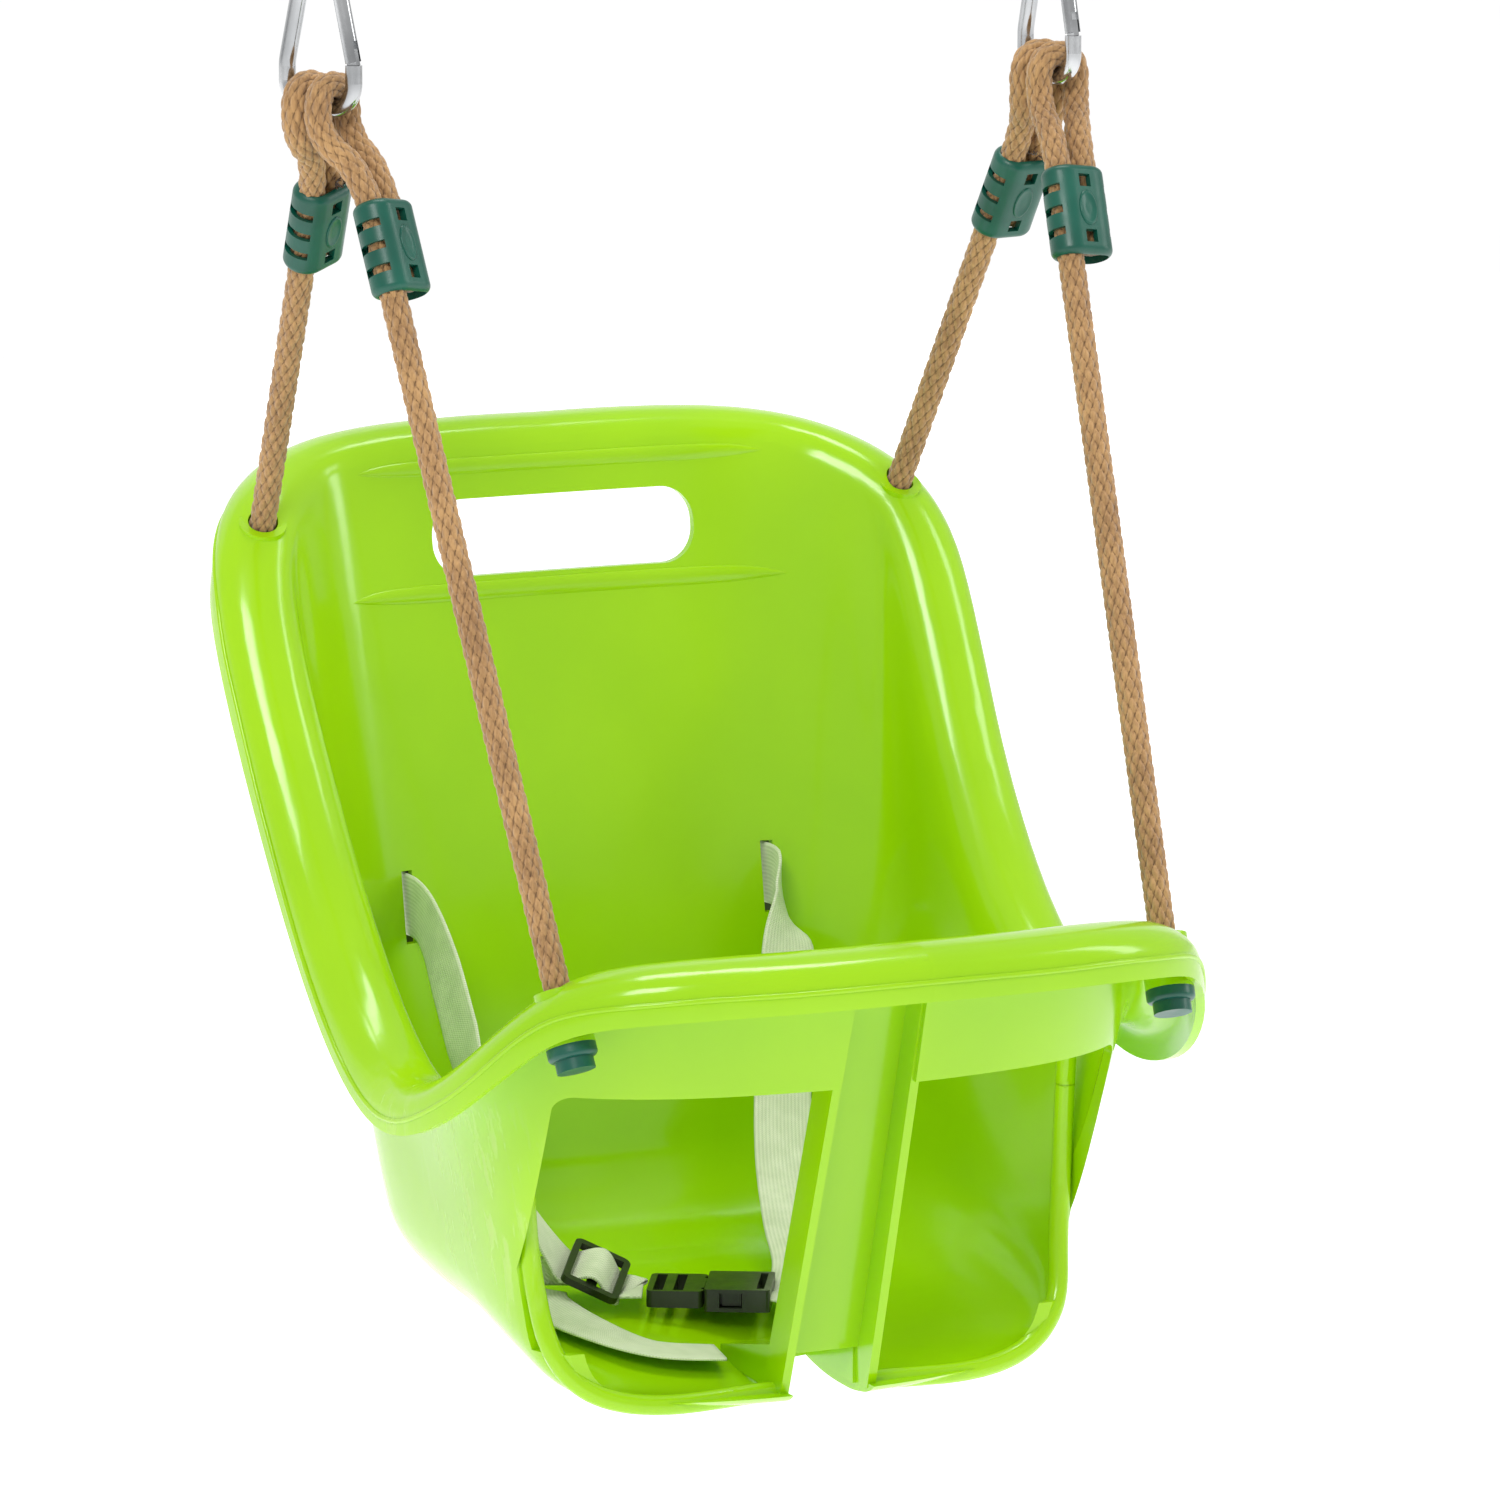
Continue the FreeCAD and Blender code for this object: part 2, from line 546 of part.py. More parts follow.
def buckle_socket():
    body = buckle_box((-2, 24), (-16, 16), (-4.5, 4.5))
    body = body.makeFillet(1.5, [e for e in body.Edges if abs(e.tangentAt(e.FirstParameter).z) > 0.9])
    body = body.cut(buckle_box((-3, 16), (-13.5, 13.5), (-3.0, 3.0)))
    body = body.cut(buckle_box((4, 13), (-17, 17), (-3.0, 3.0)))
    return body.cut(buckle_box((18.5, 21.5), (-13.2, 13.2), (-6, 6)))


def buckle_plug():
    body = buckle_box((-25, -2.5), (-15, 15), (-3.4, 3.4))
    body = body.makeFillet(2.5, [e for e in body.Edges if abs(e.tangentAt(e.FirstParameter).z) > 0.9])
    for low, high in ((-22.5, -18.5), (-14.5, -10.5)):
        body = body.cut(buckle_box((low, high), (-13.2, 13.2), (-6, 6)))
    body = body.fuse(buckle_box((-3, 14), (-3.2, 3.2), (-2.0, 2.0)))
    for side in (-1, 1):
        at = buckle_point(TAB_ROOT, side * TAB_ACROSS, -5)
        body = body.cut(Part.makeCylinder(TAB_ROOT_R + 0.05, 10, at))
    return body


def buckle_tab(side):
    """A springy side arm of the plug: round root, straight arm and a broad head behind the window."""
    root = Part.makeCylinder(TAB_ROOT_R, 5.2, buckle_point(TAB_ROOT, side * TAB_ACROSS, -2.6))
    arm = buckle_box((TAB_ROOT, 9), (side * TAB_ACROSS - 1.4, side * TAB_ACROSS + 1.4), (-2.6, 2.6))
    edge = sorted((side * 8.6, side * 13.1))
    head = buckle_box((5.0, 12.5), edge, (-2.6, 2.6))
    return root.fuse(arm).fuse(head)


def belt_slider():
    """A three-bar slider that the webbing is woven through."""
    frame = Part.makeBox(24, 33, 3, V(-12, -16.5, -1.5))
    frame = frame.makeFillet(3.5, [e for e in frame.Edges if abs(e.tangentAt(e.FirstParameter).z) > 0.9])
    for x in (-9.2, 2.2):
        frame = frame.cut(Part.makeBox(7.0, 26.4, 5, V(x, -13.2, -2.5)))
    return placed(frame, SLIDER, SLIDER_DIR, SLIDER_UP)


def belt_left():
    """From the left slot down to the slider, woven over its middle bar, and on to the plug."""
    a, n = SLIDER_DIR, SLIDER_UP
    w = a.cross(n)
    under, over = n * -2.9, n * 2.9
    woven = [(SLIDER - a * 14 + under, w), (SLIDER - a * 9.5 + under, w), (SLIDER - a * 2.4 + over, w),
             (SLIDER + a * 2.4 + over, w), (SLIDER + a * 9.5 + under, w), (SLIDER + a * 14 + under, w)]
    across = V(BUCKLE_DIR.y, -BUCKLE_DIR.x, 0)
    end = [(buckle_point(-31, 0, 0), across), (buckle_point(-27.5, 0, 0), across)]
    return ribbon(BELT_LEFT + woven + end)


def belt_right():
    across = V(-BUCKLE_DIR.y, BUCKLE_DIR.x, 0)
    end = [(buckle_point(31, 0, 0), across, BUCKLE_DIR * -1), (buckle_point(24.4, 0, 0), across, BUCKLE_DIR * -1)]
    return ribbon(BELT_RIGHT + end)


def belt_anchor(side):
    """A rounded plate behind the slot, too big to pull through it."""
    x = SLOT_X if side == "right" else -SLOT_X
    return rounded_slab(x - 8, x + 8, -399 - 18, -399 + 18, (4, 4, 4, 4), ANCHOR_Y, ANCHOR_Y + 3)


def belt_tail():
    return ribbon(BELT_TAIL)


# ---- write every sub-part -----------------------------------------------------------------------
save("seat_shell", seat_shell())
for side in ("left", "right"):
    body, gate, pin, _, _ = hook_parts(side)
    save(f"hook_{side}", body)
    save(f"hook_gate_{side}", gate)
    save(f"gate_pin_{side}", pin)
    for corner in ("rear", "front"):
        save(f"rope_{corner}_{side}", rope(side, corner))
        for face, half in zip(("front", "back"), clamp_halves(side, corner)):
            save(f"clamp_{corner}_{side}_{face}_half", half)
        save(f"rope_stop_{corner}_{side}", stop_button(side, corner))
save("buckle_socket", buckle_socket())
save("buckle_plug", buckle_plug())
save("buckle_tab_front", buckle_tab(-1))
save("buckle_tab_back", buckle_tab(1))
save("belt_slider", belt_slider())
save("belt_strap_left", belt_left())
save("belt_strap_right", belt_right())
save("belt_tail", belt_tail())
save("belt_anchor_left", belt_anchor("left"))
save("belt_anchor_right", belt_anchor("right"))
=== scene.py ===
"""Toddler bucket swing: materials, braided ropes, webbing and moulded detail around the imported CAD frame."""

import math
import random

import bpy
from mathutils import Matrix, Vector
from mathutils.bvhtree import BVHTree


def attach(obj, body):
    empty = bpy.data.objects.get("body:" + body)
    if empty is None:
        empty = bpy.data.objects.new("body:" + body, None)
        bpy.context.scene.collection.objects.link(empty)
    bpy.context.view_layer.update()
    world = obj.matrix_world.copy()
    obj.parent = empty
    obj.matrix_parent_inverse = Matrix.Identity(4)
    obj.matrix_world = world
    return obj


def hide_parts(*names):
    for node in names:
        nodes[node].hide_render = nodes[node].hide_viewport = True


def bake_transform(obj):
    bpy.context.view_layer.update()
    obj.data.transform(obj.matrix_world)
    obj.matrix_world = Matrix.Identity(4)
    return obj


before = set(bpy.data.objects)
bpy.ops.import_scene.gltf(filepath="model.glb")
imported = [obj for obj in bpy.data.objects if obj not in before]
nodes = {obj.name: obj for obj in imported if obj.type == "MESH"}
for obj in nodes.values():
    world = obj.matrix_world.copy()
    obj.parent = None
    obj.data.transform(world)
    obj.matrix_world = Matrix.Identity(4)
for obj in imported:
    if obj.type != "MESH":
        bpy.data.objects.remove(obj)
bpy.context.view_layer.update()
scene = bpy.context.scene
MM = 0.001


def mm(x, y, z):
    return Vector((x * MM, y * MM, z * MM))


# ---- camera, light and floor --------------------------------------------------------------------
PIVOT = Vector((0, -0.051, -0.317))     # the camera looks at this point
AZIMUTH = math.radians(-25.066)
ELEVATION = math.radians(9.881)
DISTANCE = 3.3074
LENS_MM = 204.0
SENSOR_MM = 36.0
LENS_SHIFT = (0.0016, -0.0006)


def make_camera():
    data = bpy.data.cameras.new("camera")
    data.lens, data.sensor_width = LENS_MM, SENSOR_MM
    data.shift_x, data.shift_y = LENS_SHIFT
    camera = bpy.data.objects.new("camera", data)
    scene.collection.objects.link(camera)
    back = Vector((math.sin(AZIMUTH) * math.cos(ELEVATION), -math.cos(AZIMUTH) * math.cos(ELEVATION),
                   math.sin(ELEVATION)))
    camera.location = PIVOT + back * DISTANCE
    camera.rotation_euler = (math.pi / 2 - ELEVATION, 0, AZIMUTH)
    scene.camera = camera


def area_light(name, place, size, power, aim=PIVOT):
    data = bpy.data.lights.new(name, "AREA")
    data.shape, data.size, data.size_y, data.energy = "RECTANGLE", size[0], size[1], power
    light = bpy.data.objects.new(name, data)
    scene.collection.objects.link(light)
    light.location = place
    light.rotation_euler = (Vector(aim) - Vector(place)).to_track_quat("-Z", "Y").to_euler()


def add_mesh(name, verts, faces, smooth=True):
    mesh = bpy.data.meshes.new(name)
    mesh.from_pydata([tuple(v) for v in verts], [], faces)
    mesh.update()
    for face in mesh.polygons:
        face.use_smooth = smooth
    obj = bpy.data.objects.new(name, mesh)
    scene.collection.objects.link(obj)
    return obj


def skin(rings, around, flip=False):
    """Faces between rings of points, with a cap at each end."""
    faces = []
    for i in range(rings - 1):
        for k in range(around):
            n = (k + 1) % around
            a, b, c, d = i * around + k, i * around + n, (i + 1) * around + n, (i + 1) * around + k
            faces.append((a, d, c, b) if flip else (a, b, c, d))
    first = list(range(around))
    last = [(rings - 1) * around + k for k in range(around)]
    return faces + ([first, last[::-1]] if flip else [first[::-1], last])


def smooth_between(p0, p1, p2, p3, t):
    """A point of the smooth line through p1 and p2, the share t of the way between them."""
    return 0.5 * ((2 * p1) + (p2 - p0) * t + (2 * p0 - 5 * p1 + 4 * p2 - p3) * t ** 2
                  + (3 * p1 - p0 - 3 * p2 + p3) * t ** 3)


# ---- materials ----------------------------------------------------------------------------------
def shader(name, **values):
    mat = bpy.data.materials.new(name)
    mat.use_nodes = True
    tree = mat.node_tree
    bsdf = tree.nodes["Principled BSDF"]
    for key, value in values.items():
        bsdf.inputs[key.replace("_", " ")].default_value = value
    return mat, tree, bsdf


def noise(tree, scale, detail=2.0, stretch=(1, 1, 1)):
    coord = tree.nodes.new("ShaderNodeTexCoord")
    mapping = tree.nodes.new("ShaderNodeMapping")
    mapping.inputs["Scale"].default_value = stretch
    tex = tree.nodes.new("ShaderNodeTexNoise")
    tex.inputs["Scale"].default_value = scale
    tex.inputs["Detail"].default_value = detail
    tree.links.new(coord.outputs["Object"], mapping.inputs["Vector"])
    tree.links.new(mapping.outputs["Vector"], tex.inputs["Vector"])
    return tex.outputs["Fac"]


def ramp(tree, source, low, high, at=(0.3, 0.7)):
    node = tree.nodes.new("ShaderNodeValToRGB")
    node.color_ramp.elements[0].color, node.color_ramp.elements[1].color = low, high
    node.color_ramp.elements[0].position, node.color_ramp.elements[1].position = at
    tree.links.new(source, node.inputs["Fac"])
    return node.outputs["Color"]


def math_node(tree, operation, a, b):
    node = tree.nodes.new("ShaderNodeMath")
    node.operation = operation
    for i, value in enumerate((a, b)):
        if isinstance(value, (int, float)):
            node.inputs[i].default_value = value
        else:
            tree.links.new(value, node.inputs[i])
    return node.outputs[0]


def bump(tree, bsdf, height, strength, distance):
    node = tree.nodes.new("ShaderNodeBump")
    node.inputs["Strength"].default_value = strength
    node.inputs["Distance"].default_value = distance
    tree.links.new(height, node.inputs["Height"])
    tree.links.new(node.outputs["Normal"], bsdf.inputs["Normal"])


def grey(value):
    return (value, value, value, 1)


LIME_DARK, LIME_LIGHT = (0.28, 0.57, 0.0, 1), (0.35, 0.66, 0.0, 1)
SCUFF_COLOUR = (0.62, 0.74, 0.36, 1)
SCUFF_MIDDLE = (-0.128, -0.075, -0.475)     # on the outer face of the left wall
SCUFF_SHARE = 0.40
FIBRE_DARK, FIBRE_LIGHT = (0.28, 0.15, 0.058, 1), (0.50, 0.29, 0.115, 1)
# Painted shade: a dark brown mixed into the braid's grooves, between the strands.
GROOVE_PAINTED_SHADE = (0.075, 0.035, 0.012, 1)
WEB_DARK, WEB_LIGHT = (0.52, 0.60, 0.38, 1), (0.80, 0.84, 0.64, 1)
WEB_RIB_PITCH = 0.0016      # from rib to rib across the strap
WEB_PICK_PITCH = 0.0009     # from pick to pick along the strap


def lime_plastic():
    mat, tree, bsdf = shader("lime_plastic", Coat_Weight=0.16, Coat_Roughness=0.06, Subsurface_Weight=0.05,
                             Subsurface_Scale=0.01, Subsurface_Radius=(0.6, 1.0, 0.1),
                             Specular_IOR_Level=0.42)
    base = ramp(tree, noise(tree, 7.0, 3.0), LIME_DARK, LIME_LIGHT)
    coord = tree.nodes.new("ShaderNodeTexCoord")
    away = tree.nodes.new("ShaderNodeVectorMath")
    away.operation = "DISTANCE"
    away.inputs[1].default_value = SCUFF_MIDDLE
    tree.links.new(coord.outputs["Object"], away.inputs[0])
    decimetres = math_node(tree, "MULTIPLY", away.outputs["Value"], 10.0)
    near = ramp(tree, decimetres, grey(1), grey(0), (0.25, 0.62))
    streaks = ramp(tree, noise(tree, 60.0, 6.0, (3.0, 3.0, 0.6)), grey(0), grey(1), (0.52, 0.70))
    haze = math_node(tree, "MULTIPLY", math_node(tree, "MULTIPLY", near, streaks), SCUFF_SHARE)
    mix = tree.nodes.new("ShaderNodeMix")
    mix.data_type = "RGBA"
    tree.links.new(haze, mix.inputs["Factor"])
    tree.links.new(base, mix.inputs[6])
    mix.inputs[7].default_value = SCUFF_COLOUR
    tree.links.new(mix.outputs[2], bsdf.inputs["Base Color"])
    gloss = ramp(tree, noise(tree, 25.0, 4.0), grey(0.14), grey(0.22))
    tree.links.new(math_node(tree, "ADD", gloss, haze), bsdf.inputs["Roughness"])
    bump(tree, bsdf, noise(tree, 55.0, 1.0), 0.12, 0.0008)
    return mat


def simple_plastic(name, low, high, rough, grain):
    mat, tree, bsdf = shader(name, Specular_IOR_Level=0.5)
    tree.links.new(ramp(tree, noise(tree, 40.0, 3.0), low, high), bsdf.inputs["Base Color"])
    tree.links.new(ramp(tree, noise(tree, 90.0, 4.0), grey(rough - 0.06), grey(rough + 0.08)),
                   bsdf.inputs["Roughness"])
    bump(tree, bsdf, noise(tree, grain, 2.0), 0.15, 0.0003)
    return mat


def rope_material():
    mat, tree, bsdf = shader("rope_fibre", Roughness=0.85, Sheen_Weight=0.35, Sheen_Roughness=0.5)
    fibres = noise(tree, 900.0, 5.0, (1.0, 1.0, 0.25))
    tone = noise(tree, 45.0, 3.0)
    base = ramp(tree, math_node(tree, "ADD", math_node(tree, "MULTIPLY", fibres, 0.6),
                                math_node(tree, "MULTIPLY", tone, 0.4)),
                FIBRE_DARK, FIBRE_LIGHT, (0.36, 0.62))
    # Painted shade: where the braid's height is low, in the grooves, the colour turns to the dark groove
    # shade.
    groove_shade_source = tree.nodes.new("ShaderNodeAttribute")
    groove_shade_source.attribute_name = "braid"
    mix = tree.nodes.new("ShaderNodeMix")
    mix.data_type = "RGBA"
    tree.links.new(ramp(tree, groove_shade_source.outputs["Fac"], grey(0), grey(1), (0.0, 0.42)), mix.inputs["Factor"])
    mix.inputs[6].default_value = GROOVE_PAINTED_SHADE
    tree.links.new(base, mix.inputs[7])
    tree.links.new(mix.outputs[2], bsdf.inputs["Base Color"])
    bump(tree, bsdf, fibres, 0.5, 0.0006)
    return mat


def wave(tree, source, pitch):
    return math_node(tree, "SINE", math_node(tree, "MULTIPLY", source, 2 * math.pi / pitch), 0)


def webbing_material():
    mat, tree, bsdf = shader("woven_webbing", Roughness=0.8, Sheen_Weight=0.2)
    uv = tree.nodes.new("ShaderNodeUVMap")
    uv.uv_map = "weave"
    split = tree.nodes.new("ShaderNodeSeparateXYZ")
    tree.links.new(uv.outputs["UV"], split.inputs["Vector"])
    along = wave(tree, split.outputs["Y"], WEB_PICK_PITCH)
    across = wave(tree, split.outputs["X"], WEB_RIB_PITCH)
    crossings = math_node(tree, "MULTIPLY", math_node(tree, "MULTIPLY", along, across), 0.35)
    ribs = math_node(tree, "ADD", math_node(tree, "MULTIPLY", across, 0.2), 0.5)
    weave = math_node(tree, "ADD", crossings, ribs)
    tone = noise(tree, 120.0, 3.0)
    mixed = math_node(tree, "ADD", math_node(tree, "MULTIPLY", weave, 0.5),
                      math_node(tree, "MULTIPLY", tone, 0.5))
    tree.links.new(ramp(tree, mixed, WEB_DARK, WEB_LIGHT), bsdf.inputs["Base Color"])
    bump(tree, bsdf, weave, 0.6, 0.0004)
    return mat


def steel_material():
    mat, tree, bsdf = shader("bright_steel", Metallic=1.0)
    # Painted reflection: the base colour is kept low and varies in dark and light patches by noise, standing
    # in for dark reflections in the chrome.
    tree.links.new(ramp(tree, noise(tree, 30.0, 4.0), (0.36, 0.37, 0.38, 1), (0.62, 0.63, 0.64, 1)),
                   bsdf.inputs["Base Color"])
    tree.links.new(ramp(tree, noise(tree, 160.0, 5.0), grey(0.10), grey(0.24)), bsdf.inputs["Roughness"])
    bump(tree, bsdf, noise(tree, 300.0, 2.0), 0.05, 0.0002)
    return mat


LIME = lime_plastic()
GREEN = simple_plastic("green_plastic", (0.0, 0.065, 0.042, 1), (0.002, 0.10, 0.065, 1), 0.36, 700.0)
BLACK = simple_plastic("buckle_plastic", (0.008, 0.014, 0.004, 1), (0.018, 0.028, 0.008, 1), 0.34, 600.0)
ROPE = rope_material()
WEBBING = webbing_material()
STEEL = steel_material()


def paint(obj, mat):
    if not obj.material_slots:
        obj.data.materials.append(mat)
    for place in obj.material_slots:
        place.material = mat


def node_material(name):
    if name == "seat_shell":
        return LIME
    if name.startswith(("hook", "gate_pin")):
        return STEEL
    if name.startswith(("clamp", "rope_stop")):
        return GREEN
    if name.startswith("rope"):
        return ROPE
    if name.startswith("belt_strap") or name == "belt_tail":
        return WEBBING
    return BLACK


def place_piece(obj, body, mat):
    paint(obj, mat)
    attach(obj, body)


# ---- ropes --------------------------------------------------------------------------------------
# Each rope's length, and the control points of its route, in millimetres: from the stop up through
# the rim, round the hook and back down to the cut end inside the clamp.
ROPES = {
    "rear_left": (334, [(-138.9, 115.5, -262.0), (-147.9, 43.9, -138.5), (-151.7, 14.4, -87.6),
                        (-166.6, 0.4, -76.0), (-166.6, 0.4, -56.0), (-151.0, 9.3, -56.0),
                        (-151.0, 9.3, -76.0), (-141.8, 18.5, -84.5), (-138.8, 41.5, -124.2)]),
    "front_left": (489, [(-125.8, -167.2, -406.8), (-143.8, -46.6, -142.0), (-147.4, -22.2, -88.4),
                         (-161.0, -9.3, -76.0), (-161.0, -9.3, -56.0), (-145.4, -0.4, -56.0),
                         (-145.4, -0.4, -76.0), (-137.5, -17.3, -90.0), (-134.7, -36.3, -131.8)]),
    "rear_right": (329, [(138.9, 115.5, -262.0), (147.9, 43.9, -138.5), (151.7, 14.4, -87.6),
                         (146.3, 4.1, -76.0), (146.3, 4.1, -56.0), (164.0, 6.9, -56.0),
                         (164.0, 6.9, -76.0), (162.8, 16.1, -87.5), (159.9, 39.1, -127.2)]),
    "front_right": (487, [(125.8, -167.2, -406.8), (143.8, -46.6, -142.0), (147.4, -22.2, -88.4),
                          (148.0, -6.9, -76.0), (148.0, -6.9, -56.0), (165.7, -4.1, -56.0),
                          (165.7, -4.1, -76.0), (158.5, -21.0, -89.7), (155.7, -40.1, -131.5)]),
}
ROPE_DIAMETER = 0.0105
STRANDS = 8             # strands of the braid in each direction
BRAID_PITCH = 0.0084    # length of one stitch along the rope
BRAID_CORE = 0.83       # radius in the grooves, as a share of the rope's
BRAID_RISE = 0.20       # how far a strand's crown stands above them


def spline_points(name, points):
    """Points of the NURBS curve that has the route as its control points."""
    curve = bpy.data.curves.new(name, "CURVE")
    curve.dimensions = "3D"
    spline = curve.splines.new("NURBS")
    spline.points.add(len(points) - 1)
    for point, p in zip(spline.points, points):
        point.co = (*mm(*p), 1.0)
    spline.order_u = 3
    spline.use_endpoint_u = True
    spline.resolution_u = 48
    holder = bpy.data.objects.new(name, curve)
    scene.collection.objects.link(holder)
    bpy.context.view_layer.update()
    mesh = bpy.data.meshes.new_from_object(holder)
    found = [v.co.copy() for v in mesh.vertices]
    bpy.data.objects.remove(holder)
    return found


def even(points, step):
    """The same line with points a step apart."""
    out, left = [points[0]], step
    for a, b in zip(points, points[1:]):
        run = (b - a).length
        while run >= left:
            a = a + (b - a) * (left / run)
            out.append(a)
            run = (b - a).length
            left = step
        left -= run
    if (out[-1] - points[-1]).length < step / 2:
        out.pop()
    out.append(points[-1])
    return out


def frames(path):
    """Two directions square to the line and to each other at each point, without twist."""
    out, side = [], None
    for i in range(len(path)):
        t = (path[min(i + 1, len(path) - 1)] - path[max(i - 1, 0)]).normalized()
        side = t.orthogonal() if side is None else side - t * side.dot(t)
        side.normalize()
        out.append((side.copy(), t.cross(side)))
    return out


def braid_height(angle, along):
    """Height of the braid's surface, 0 to 1, from two families of strands passing over and under."""
    u = angle * STRANDS / (2 * math.pi) + along / BRAID_PITCH
    v = angle * STRANDS / (2 * math.pi) - along / BRAID_PITCH
    fu, fv = u - math.floor(u) - 0.5, v - math.floor(v) - 0.5
    over = (math.floor(u) + math.floor(v)) % 2 == 0
    across, length = (fu, fv) if over else (fv, fu)
    return (1 - abs(2 * across) ** 2.4) * (1 - 0.75 * abs(2 * length) ** 3)


def braided(name, route, around=64, step=0.0008):
    path = even(spline_points(name, route), step)
    verts, heights = [], []
    for i, (p, (side, up)) in enumerate(zip(path, frames(path))):
        for k in range(around):
            angle = 2 * math.pi * k / around
            heights.append(braid_height(angle, i * step))
            r = ROPE_DIAMETER / 2 * (BRAID_CORE + BRAID_RISE * heights[-1])
            verts.append(p + side * (r * math.cos(angle)) + up * (r * math.sin(angle)))
    rope = add_mesh(name, verts, skin(len(path), around))
    # The braid heights go to the rope material, which paints shade into the grooves where they are low.
    layer = rope.data.attributes.new("braid", "FLOAT", "POINT")
    layer.data.foreach_set("value", heights)
    return rope, path


def make_ropes():
    for corner, (length, route) in ROPES.items():
        rope, path = braided("braided_rope_" + corner, route)
        paint(rope, ROPE)
        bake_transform(rope)
        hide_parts("rope_" + corner)


# ---- webbing ------------------------------------------------------------------------------------
WEB_WIDTH = 0.025
WEB_THICKNESS = 0.0013
WEB_EDGE = 0.6          # the selvedge is this share of the webbing's thickness
WEB_COLUMNS = [-0.5, -0.46, -0.3, -0.1, 0.1, 0.3, 0.46, 0.5]    # across the strap, in widths
WEB_STEPS = 8           # rings from one station to the next


def ribbon(name, stations):
    """A strap through stations of (middle, width direction), smoothed between them, and its length."""
    fine = []
    points = [mm(*p) for p, w in stations]
    wides = [Vector(w).normalized() for p, w in stations]
    for i in range(len(points) - 1):
        near = [points[max(0, min(len(points) - 1, i + k))] for k in (-1, 0, 1, 2)]
        for s in range(WEB_STEPS):
            t = s / WEB_STEPS
            fine.append((smooth_between(*near, t), wides[i].lerp(wides[i + 1], t)))
    fine.append((points[-1], wides[-1]))
    both = WEB_COLUMNS + WEB_COLUMNS[::-1]
    verts, lengths, along = [], [], 0.0
    for i, (p, w) in enumerate(fine):
        ahead = (fine[min(i + 1, len(fine) - 1)][0] - fine[max(i - 1, 0)][0]).normalized()
        w = (w - ahead * w.dot(ahead)).normalized()
        n = ahead.cross(w)
        along += (p - fine[i - 1][0]).length if i else 0
        lengths.append(along)
        for k, c in enumerate(both):
            half = 1 if k < len(WEB_COLUMNS) else -1
            edge = WEB_EDGE if c in (WEB_COLUMNS[0], WEB_COLUMNS[-1]) else 1.0
            verts.append(p + w * (c * WEB_WIDTH) + n * (half * edge * WEB_THICKNESS / 2))
    obj = add_mesh(name, verts, skin(len(fine), len(both), flip=True))
    layer = obj.data.uv_layers.new(name="weave")
    for loop in obj.data.loops:
        ring, k = divmod(loop.vertex_index, len(both))
        layer.data[loop.index].uv = (both[k] * WEB_WIDTH, lengths[ring])
    paint(obj, WEBBING)
    return obj, along


# Stations along each strap, in millimetres: its middle and the direction of its width.
STRAP_LEFT = [((-80, 111, -399), (0, 0, 1)), ((-80, 92, -399), (0, 0, 1)),
              ((-81, 75, -405), (0.05, -0.3, 0.9)), ((-83, 55, -420), (0.15, -0.55, 0.75)),
              ((-85, 34, -441), (0.15, -0.7, 0.6)),
              ((-84, 14, -472), (-0.1, -0.85, 0.3)), ((-72, 1, -504), (-0.4, -0.85, -0.1)),
              ((-59.9, -4.8, -525.6), (-0.55, -0.8, -0.25)), ((-56.3, -6.7, -527.5), (-0.55, -0.8, -0.25)),
              ((-49.3, -12.3, -525.5), (-0.55, -0.8, -0.25)), ((-45.4, -14.3, -527.5), (-0.55, -0.8, -0.25)),
              ((-41, -14.7, -535.5), (-0.55, -0.8, -0.25)), ((-37.6, -16.4, -536.3), (-0.53, -0.83, -0.2)),
              ((-35.1, -19.9, -536.3), (-0.488, -0.873, 0)), ((-32, -21.6, -536.2), (-0.488, -0.873, 0))]
STRAP_RIGHT = [((80, 111, -399), (0, 0, 1)), ((80, 92, -399), (0, 0, 1)), ((77, 80, -408), (-0.2, 0.1, 0.95)),
               ((74, 68, -425), (-0.7, 0.1, 0.6)), ((66, 56, -470), (-0.85, 0.05, 0.2)),
               ((57, 36, -500), (-0.85, 0.1, 0.1)), ((46, 4, -520), (-0.85, 0.3, 0)),
               ((36, -26, -530), (-0.6, 0.6, -0.1)), ((19.1, -50.1, -536.2), (0.2, 0.9, 0)),
               ((13.3, -46.9, -536.2), (0.488, 0.873, 0))]
STRAP_TAIL = [((-60, 8, -535.5), (0.4, 1, 0)), ((-69, -1, -535.8), (0.6, 0.8, 0)),
              ((-75, -20, -537), (1, 0.3, 0)), ((-68, -50, -541.5), (0.8, 0.6, 0)),
              ((-50, -70, -547.3), (0.4, 0.9, 0)), ((-24, -77, -550), (0.1, 1, 0))]


def make_straps():
    left, long_left = ribbon("belt_webbing_left", STRAP_LEFT)
    right, long_right = ribbon("belt_webbing_right", STRAP_RIGHT)
    tail, long_tail = ribbon("belt_webbing_tail", STRAP_TAIL)
    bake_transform(left)
    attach(right, "seat")
    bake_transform(tail)
    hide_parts("belt_strap_left")
    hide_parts("belt_strap_right")
    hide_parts("belt_tail")


# ---- moulded detail -----------------------------------------------------------------------------
def tube(name, path, radius, around=12):
    verts = []
    for p, (side, up) in zip(path, frames(path)):
        for k in range(around):
            a = 2 * math.pi * k / around
            verts.append(p + side * (radius * math.cos(a)) + up * (radius * math.sin(a)))
    return add_mesh(name, verts, skin(len(path), around))


